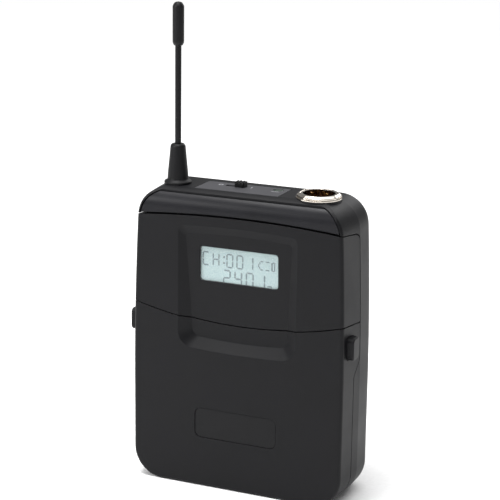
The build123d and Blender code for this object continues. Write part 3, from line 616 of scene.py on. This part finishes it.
def dress(material: bpy.types.Material, *names: str) -> None:
    """Gives CAD nodes their finish.

    Args:
        material: The finish.
        names: The nodes.
    """
    for name in names:
        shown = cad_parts[name]
        if not shown.material_slots:
            shown.data.materials.append(material)
        for held in shown.material_slots:
            held.material = material
        log.info("node %s in %s", name, material.name)


def span(name: str) -> tuple[np.ndarray, np.ndarray]:
    """A CAD node's lowest and highest corner in millimetres."""
    low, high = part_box(name)
    return np.array(low) / MM, np.array(high) / MM


# ---------------------------------------------------------------- sub-assemblies

@dataclass
class CaseSet:
    """The moulded case: rear housing, front cover, battery door, head trim and badge."""

    shell: MouldedPlastic = plastic("case_abs", "#0B0B0D", "#111114", 0.47)
    band: MouldedPlastic = plastic("trim_abs", "#141417", "#1C1C20", 0.36, 0.25, 0.012)
    badge: MouldedPlastic = plastic("badge_film", "#0D0D0F", "#131315", 0.42, 0.3, 0.006)

    def dress(self) -> None:
        """Dresses the case nodes."""
        shell_nodes = ("rear_housing", "front_cover", "battery_door", "latch_left", "latch_right")
        dress(self.shell.material(), *shell_nodes)
        dress(self.band.material(), "head_trim")
        dress(self.badge.material(), "badge_plate")


@dataclass
class Display:
    """The LCD behind its window, with seven-segment figures."""

    opening_width: float = 23.8
    opening_height: float = 10.1
    margin: float = 0.1
    depth: float = 0.5
    corner: float = 0.9
    air: float = 0.05
    ink_lift: float = 0.02
    digit_width: float = 1.75
    digit_height: float = 3.7
    digit_pitch: float = 3.05
    low_row_scale: float = 1.14
    stroke: float = 0.44
    ink: str = "#3E5359"
    pale_ink: str = "#4A6066"

    SEGMENTS = {
        "0": "abcdef", "1": "bc", "2": "abged", "3": "abgcd", "4": "fgbc", "5": "afgcd",
        "6": "afgedc", "7": "abc", "8": "abcdefg", "9": "abcdfg", "C": "adef", "H": "bcefg",
    }

    def build(self) -> None:
        """Builds the window, the LCD and its figures."""
        low, high = span("display_window")
        middle_z = (low[2] + high[2]) / 2
        front = low[1]
        width = self.opening_width - 2 * self.margin
        height = self.opening_height - 2 * self.margin
        outline = round_rectangle(width, height, self.corner)
        clear = plate("window_pane", outline, front, front + self.depth, Way.FRONT, (0, middle_z))
        put_on(clear, ClearWindow().material(), CASE, "window_clear", "display_window")
        face = front + self.depth + self.air
        back = span("lcd_panel")[1][1]
        glass = plate("lcd_glass", outline, face, back, Way.FRONT, (0, middle_z))
        put_on(glass, LiquidCrystal().material(), CASE, "lcd_glass", "lcd_panel")
        figures = self.figures(middle_z, face - self.ink_lift)
        put_on(figures, self.ink_material(), CASE, "lcd_glass")

    def segment(self, letter: str) -> np.ndarray:
        """One bar of a digit as six points round a long hexagon.

        Args:
            letter: Which bar, a to g, in the usual order.

        Returns:
            Its points in the digit's own box.
        """
        w, h, t = self.digit_width, self.digit_height, self.stroke
        ends = {
            "a": ((0, h), (w, h)), "b": ((w, h), (w, h / 2)), "c": ((w, h / 2), (w, 0)),
            "d": ((0, 0), (w, 0)), "e": ((0, h / 2), (0, 0)), "f": ((0, h), (0, h / 2)),
            "g": ((0, h / 2), (w, h / 2)),
        }[letter]
        a, b = np.array(ends[0], float), np.array(ends[1], float)
        along = (b - a) / np.linalg.norm(b - a)
        across = np.array([-along[1], along[0]])
        gap = t * 0.12
        a, b = a + along * gap, b - along * gap
        rows = [a, a + (along - across) * t / 2, b - (along + across) * t / 2, b]
        rows += [b + (across - along) * t / 2, a + (along + across) * t / 2]
        return np.array(rows)

    def bars(self, text: str, x: float, z: float, scale: float) -> list[np.ndarray]:
        """The bars of a row of digits.

        Args:
            text: Digits; a colon is drawn as two dots and a space skips a place.
            x: Left end.
            z: Bottom.
            scale: Size factor.

        Returns:
            One outline for each bar.
        """
        pitch = self.digit_pitch * scale
        found = []
        for sign in text:
            if sign == ":":
                dot = np.array([[0, 0], [1, 0], [1, 1], [0, 1]]) * self.stroke * 1.3
                found += [dot + (x, z + self.digit_height * scale * k) for k in (0.22, 0.68)]
                x += pitch * 0.38
                continue
            for letter in self.SEGMENTS.get(sign, ""):
                found.append(self.segment(letter) * scale + (x, z))
            x += pitch
        return found

    def figures(self, middle_z: float, depth: float) -> bpy.types.Object:
        """All the figures as one flat mesh.

        Args:
            middle_z: Height of the display's middle.
            depth: Y of the figures.

        Returns:
            The object.
        """
        floor = middle_z - self.opening_height / 2 + self.margin
        outlines = self.bars("CH:001", -11.2, middle_z - 0.5, 1.0)
        outlines += self.bars("2401", -4.9, middle_z - 5.7, self.low_row_scale)
        outlines += self.battery_sign(5.5, middle_z - 0.2)
        outlines += [np.array([[8.4, 0], [9.8, 0], [9.8, 0.4], [8.4, 0.4]]) + (0, floor + 0.15)]
        shown = [outline for outline in outlines if outline[:, 1].max() > floor]
        outlines = [np.maximum(outline, (-math.inf, floor)) for outline in shown]
        points, faces, count = [], [], 0
        for outline in outlines:
            points.append(np.stack([outline[:, 0], np.full(len(outline), depth), outline[:, 1]], axis=-1))
            faces.append(list(range(count, count + len(outline))))
            count += len(outline)
        made = mesh_object("lcd_figures", np.vstack(points), faces, smooth=False)
        normal = made.data.polygons[0].normal
        if normal.y > 0:
            made.data.flip_normals()
        return made

    def battery_sign(self, x: float, z: float) -> list[np.ndarray]:
        """A battery sign: an angular nub, two short lines and a closed bar.

        Args:
            x: Left end.
            z: Bottom.

        Returns:
            One outline for each mark.
        """
        unit = np.array([[0, 0], [1, 0], [1, 1], [0, 1]], float)
        t, tall = self.stroke * 0.85, 2.75
        marks = [(0.7, 0, 0.85, t), (0.7, tall - t, 0.85, t), (2.3, 0, 1.1, t), (2.3, tall - t, 1.1, t)]
        marks += [(0.0, 0.95, t, 0.85), (0.35, 0.4, t, 0.6), (0.35, tall - 1.0, t, 0.6)]
        marks += [(3.95, 0.2, 0.5, tall - 0.4), (4.8, 0.2, t, tall - 0.4)]
        marks += [(4.35, 0, 0.6, t), (4.35, tall - t, 0.6, t)]
        return [unit * (w, h) + (x + dx, z + dz) for dx, dz, w, h in marks]

    def ink_material(self) -> bpy.types.Material:
        """Darkened liquid crystal, slightly uneven."""
        return mottled("lcd_ink", self.ink, self.pale_ink, 0.8, 2.0, 0.4)


@dataclass
class Antenna:
    """The rubber boot, the whip and its tip, turned from profiles."""

    rubber: MouldedPlastic = plastic("antenna_rubber", "#0D0D0E", "#151517", 0.42, 0.4, 0.01, 0.1)
    whip_fit: float = 0.02

    def build(self) -> None:
        """Builds the three rubber pieces."""
        finish = self.rubber.material()
        low, high = span("antenna_boot")
        centre = ((low[0] + high[0]) / 2, (low[1] + high[1]) / 2)
        foot, top = low[2], high[2]
        wire = (span("antenna_whip")[1][0] - span("antenna_whip")[0][0]) / 2
        bore = wire + self.whip_fit
        reach = (high[0] - low[0]) / 2
        boot = rounded([
            (bore, foot), (2.0, foot), (reach, foot), (reach, foot + 0.7), (3.0, foot + 1.2),
            (2.9, foot + 3.0), (2.5, foot + 7.0), (2.15, top - 0.6), (1.7, top), (bore, top), (bore, foot),
        ], 0.4)
        made = turned("antenna_boot_skin", centre, boot)
        put_on(made, finish, CASE, "antenna_rubber", "antenna_boot")
        whip_low, whip_high = span("antenna_whip")
        start, stop = whip_low[2], whip_high[2]
        whip = rounded([(0.0, start), (wire, start), (wire, stop), (0.0, stop)], 0.1)
        put_on(turned("antenna_whip_skin", centre, whip, 32), finish, CASE, "antenna_rubber", "antenna_whip")
        tip_low, tip_high = span("antenna_tip")
        r = (tip_high[0] - tip_low[0]) / 2
        bottom, end = tip_low[2], tip_high[2]
        tip = rounded([
            (0.0, bottom), (r * 0.72, bottom), (r, bottom + 0.9),
            (r, end - 1.2), (r * 0.62, end - 0.2), (0.0, end),
        ], 0.5)
        put_on(turned("antenna_tip_skin", centre, tip, 48), finish, CASE, "antenna_rubber", "antenna_tip")


@dataclass
class Jack:
    """The locking microphone jack on the top."""

    plate: Metal = metal("bright_nickel", "#CFC9C0", "#B4ABA0", 0.09, 0.3, 0.002)
    nut_bore: float = 4.75
    nut_thread: float = 5.12
    corner_share: float = 0.7
    gold: Metal = metal("gold_flash", "#D9A24A", "#B97F2E", 0.22)
    insert: MouldedPlastic = plastic("jack_insert_pbt", "#3A2418", "#4A2F1E", 0.45)

    def build(self) -> None:
        """Builds the nut and dresses the rest."""
        nickel = self.plate.material()
        low, high = span("jack_nut")
        centre = ((low[0] + high[0]) / 2, (low[1] + high[1]) / 2)
        flat = (high[0] - low[0]) / 2
        bottom, top = low[2], high[2]
        bore, thread = self.nut_bore, self.nut_thread
        profile = rounded([
            (thread, bottom), (flat, bottom), (flat, bottom + 0.55), (flat - 0.5, top - 0.08),
            (thread + 0.13, top), (bore, top - 0.3), (bore, bottom + 0.05), (thread, bottom),
        ], 0.09, 5)
        profile[-1] = profile[0]
        nut = turned("jack_nut_faceted", centre, profile, 96, self.octagon)
        put_on(nut, nickel, CASE, "nickel", "jack_nut")
        dress(nickel, "jack_washer", "jack_shell", "antenna_stud", "contact_leaves", "contact_plates")
        dress(self.insert.material(), "jack_insert")
        dress(self.gold.material(), "jack_pins")

    def octagon(self, angle: np.ndarray) -> np.ndarray:
        """Radius factor of a softened octagon with a flat in front.

        The factor is 1 / cos(d), d being the angle to the nearest flat's middle,
        drawn three tenths of the way back towards a circle.

        Args:
            angle: Angles round the nut.

        Returns:
            The factor at each angle.
        """
        step = math.pi / 4
        off = (angle + step / 2) % step - step / 2
        return 1 + (1 / np.cos(off) - 1) * self.corner_share


@dataclass
class PowerControls:
    """The top plate with its slide switch and status light."""

    cap: MouldedPlastic = plastic("knob_abs", "#0E0E0F", "#151516", 0.45)
    panel: MouldedPlastic = plastic("panel_abs", "#38383B", "#424245", 0.5, 0.22, 0.008)
    body: Metal = metal("tinned_steel", "#B9B9BA", "#9D9D9F", 0.3)
    print_lift: float = 0.012
    print_thickness: float = 0.01
    bar_x: float = -0.9
    ring_x: float = -10.3
    ring_radii: tuple[float, float] = (0.45, 0.7)
    line_gap: float = 1.0

    def build(self) -> None:
        """Dresses the plate, knob, switch and light, and prints the marks."""
        dress(self.panel.material(), "top_plate")
        dress(self.cap.material(), "power_knob")
        dress(self.body.material(), "power_switch", "shield_can")
        dress(self.light(), "status_light")
        low, high = span("top_plate")
        self.marks(high[2] + self.print_lift)

    def light(self) -> bpy.types.Material:
        """A dark tinted lens over an unlit diode."""
        return mottled("light_lens", "#16201A", "#26352B", 1.2, 1.0, 0.15)

    def marks(self, height: float) -> None:
        """Pad-printed marks: a bar and a ring beside the slot, and a line by the light.

        Args:
            height: Z of the print.
        """
        made = mottled("pad_print", "#8C8C90", "#A2A2A6", 0.3, 2.0, 0.6)
        under = height - self.print_thickness
        knob_low, knob_high = span("power_knob")
        slot_y = (knob_low[1] + knob_high[1]) / 2
        bar = plate("print_bar", round_rectangle(0.25, 1.3, 0.1), under, height, Way.UP, (self.bar_x, slot_y))
        put_on(bar, made, CASE, "plate_plastic")
        inner, outer = self.ring_radii
        corners = [(inner, under), (outer, under), (outer, height), (inner, height), (inner, under)]
        ring_profile = np.array(corners)
        ring = turned("print_ring", (self.ring_x, slot_y), ring_profile, 32)
        put_on(ring, made, CASE, "plate_plastic")
        light_low, light_high = span("status_light")
        light_x = (light_low[0] + light_high[0]) / 2
        line_at = (light_x, light_low[1] - self.line_gap)
        line = plate("print_line", round_rectangle(2.6, 0.25, 0.1), under, height, Way.UP, line_at)
        put_on(line, made, CASE, "plate_plastic")


@dataclass
class BatteryBay:
    """The tray, the cells and the setting buttons behind the door."""

    tray: MouldedPlastic = plastic("tray_abs", "#1B1B1E", "#252528", 0.5)
    keys: MouldedPlastic = plastic("key_rubber", "#6C6D70", "#7B7C80", 0.6, 0.3, 0.01)

    def build(self) -> None:
        """Builds the cells and dresses the bay."""
        dress(self.tray.material(), "battery_tray", "lcd_frame")
        dress(self.keys.material(), "button_down", "button_up", "button_set")
        self.cell("battery_cell_left", False)
        self.cell("battery_cell_right", True)

    def cell(self, name: str, upside_down: bool) -> None:
        """One AA cell turned from its profile, with a crimped rim and a raised end.

        Args:
            name: The CAD node it stands for.
            upside_down: Whether its raised end is below.
        """
        low, high = span(name)
        centre = ((low[0] + high[0]) / 2, (low[1] + high[1]) / 2)
        r = (high[0] - low[0]) / 2
        length = high[2] - low[2]
        rows = rounded([
            (0.0, 0.0), (r - 1.6, 0.0), (r - 1.4, 0.25), (r - 0.5, 0.25), (r - 0.2, 0.0), (r, 0.5),
            (r, length - 1.9), (r - 0.35, length - 1.3), (r - 0.9, length - 1.2), (r - 1.2, length - 1.7),
            (2.9, length - 1.6), (2.7, length - 1.2), (2.6, length - 0.1), (0.0, length),
        ], 0.18, 4)
        if upside_down:
            rows = rows[::-1] * (1, -1) + (0, length)
        rows = rows + (0, low[2])
        start, end = (high[2] * MM, low[2] * MM) if upside_down else (low[2] * MM, high[2] * MM)
        jacket = CellJacket(start, end, "cell_film_" + name[-5:].strip("_"))
        put_on(turned(name + "_can", centre, rows), jacket.material(), CASE, "cell_jacket", name)


@dataclass
class Hardware:
    """Boards, screws, hinge pins and the belt clip."""

    black: Metal = metal("black_oxide_steel", "#2A2A2C", "#353538", 0.36, 0.3, 0.004, (1.0, 1.0, 1.0))
    steel: Metal = metal("spring_steel", "#A9A9AB", "#8F8F92", 0.28)

    def dress(self) -> None:
        """Dresses the metal and the boards."""
        dress(self.black.material(), "case_screws", "clip_screws", "belt_clip")
        dress(self.steel.material(), "door_hinge_pins", "latch_springs")
        dress(CircuitBoard().material(), "display_board", "main_board", "control_board")


@dataclass
class Stage:
    """Floor, lights and camera."""

    lens_mm: float = 115.0
    azimuth: float = 23.112
    elevation: float = 14.885
    roll: float = 0.824
    distance: float = 440.03
    target: tuple[float, float, float] = (3.963, -15.75, 72.53)
    floor_reach: float = 3000.0
    floor_z: float = -0.05
    dome: float = 0.33
    overhead_angle: float = 70.0
    overhead_power: float = 2.35

    def build(self) -> None:
        """Builds the stage."""
        self.floor()
        self.lights()
        self.camera()
        bpy.context.scene.view_settings.view_transform = "Standard"

    def floor(self) -> None:
        """A wide sheet of pale paper."""
        corners = [(-1, -1), (1, -1), (1, 1), (-1, 1)]
        points = np.array([(x * self.floor_reach, y * self.floor_reach, self.floor_z) for x, y in corners])
        made = mesh_object("studio_floor", points, [[0, 1, 2, 3]], smooth=False)
        made.data.materials.append(Studio().material())

    def lights(self) -> None:
        """A dim dome, a wide overhead light and three soft boxes."""
        world = bpy.data.worlds.new("studio_world")
        world.use_nodes = True
        world.node_tree.nodes["Background"].inputs["Color"].default_value = linear("#FFFFFF")
        world.node_tree.nodes["Background"].inputs["Strength"].default_value = self.dome
        bpy.context.scene.world = world
        self.overhead()
        self.soft_box("left_box", (-0.26, -0.3, 0.26), 0.16, 0.9)
        self.soft_box("crest_box", (-0.08, -0.12, 0.62), 0.2, 2.6)
        self.soft_box("rear_box", (0.1, 0.6, 0.4), 0.3, 0.9)

    def overhead(self) -> None:
        """A very wide soft light from straight above, the same all over the paper."""
        data = bpy.data.lights.new("overhead", "SUN")
        data.angle = math.radians(self.overhead_angle)
        data.energy = self.overhead_power
        made = bpy.data.objects.new("overhead", data)
        bpy.context.scene.collection.objects.link(made)

    def soft_box(self, name: str, place: tuple[float, float, float], size: float, power: float) -> None:
        """An area light that faces the middle of the case.

        Args:
            name: The light's name.
            place: Where it stands, in metres.
            size: Its width, in metres.
            power: Its power in watts.
        """
        data = bpy.data.lights.new(name, "AREA")
        data.size = size
        data.energy = power
        made = bpy.data.objects.new(name, data)
        bpy.context.scene.collection.objects.link(made)
        made.location = place
        aim = Vector((0, 0, 0.05)) - Vector(place)
        made.rotation_euler = aim.to_track_quat("-Z", "Y").to_euler()

    def camera(self) -> None:
        """The camera, from its angle, roll, lens and distance to a point on the case."""
        a, e, r = (math.radians(angle) for angle in (self.azimuth, self.elevation, self.roll))
        back = Vector((math.sin(a) * math.cos(e), -math.cos(a) * math.cos(e), math.sin(e)))
        right = Vector((math.cos(a), math.sin(a), 0))
        up = back.cross(right)
        right_rolled = right * math.cos(r) + up * math.sin(r)
        up_rolled = up * math.cos(r) - right * math.sin(r)
        data = bpy.data.cameras.new("camera")
        data.lens = self.lens_mm
        data.sensor_width = 36.0
        data.clip_start, data.clip_end = 0.01, 20.0
        made = bpy.data.objects.new("camera", data)
        bpy.context.scene.collection.objects.link(made)
        place = (Vector(self.target) + back * self.distance) * MM
        turn = Matrix((right_rolled, up_rolled, back)).transposed().to_4x4()
        made.matrix_world = Matrix.Translation(place) @ turn
        bpy.context.scene.camera = made


def main() -> None:
    """Builds every sub-assembly in order."""
    logging.basicConfig(level=logging.INFO, format="%(name)s: %(message)s")
    CaseSet().dress()
    Display().build()
    Antenna().build()
    Jack().build()
    PowerControls().build()
    BatteryBay().build()
    Hardware().dress()
    Stage().build()


if __name__ == "__main__":
    main()
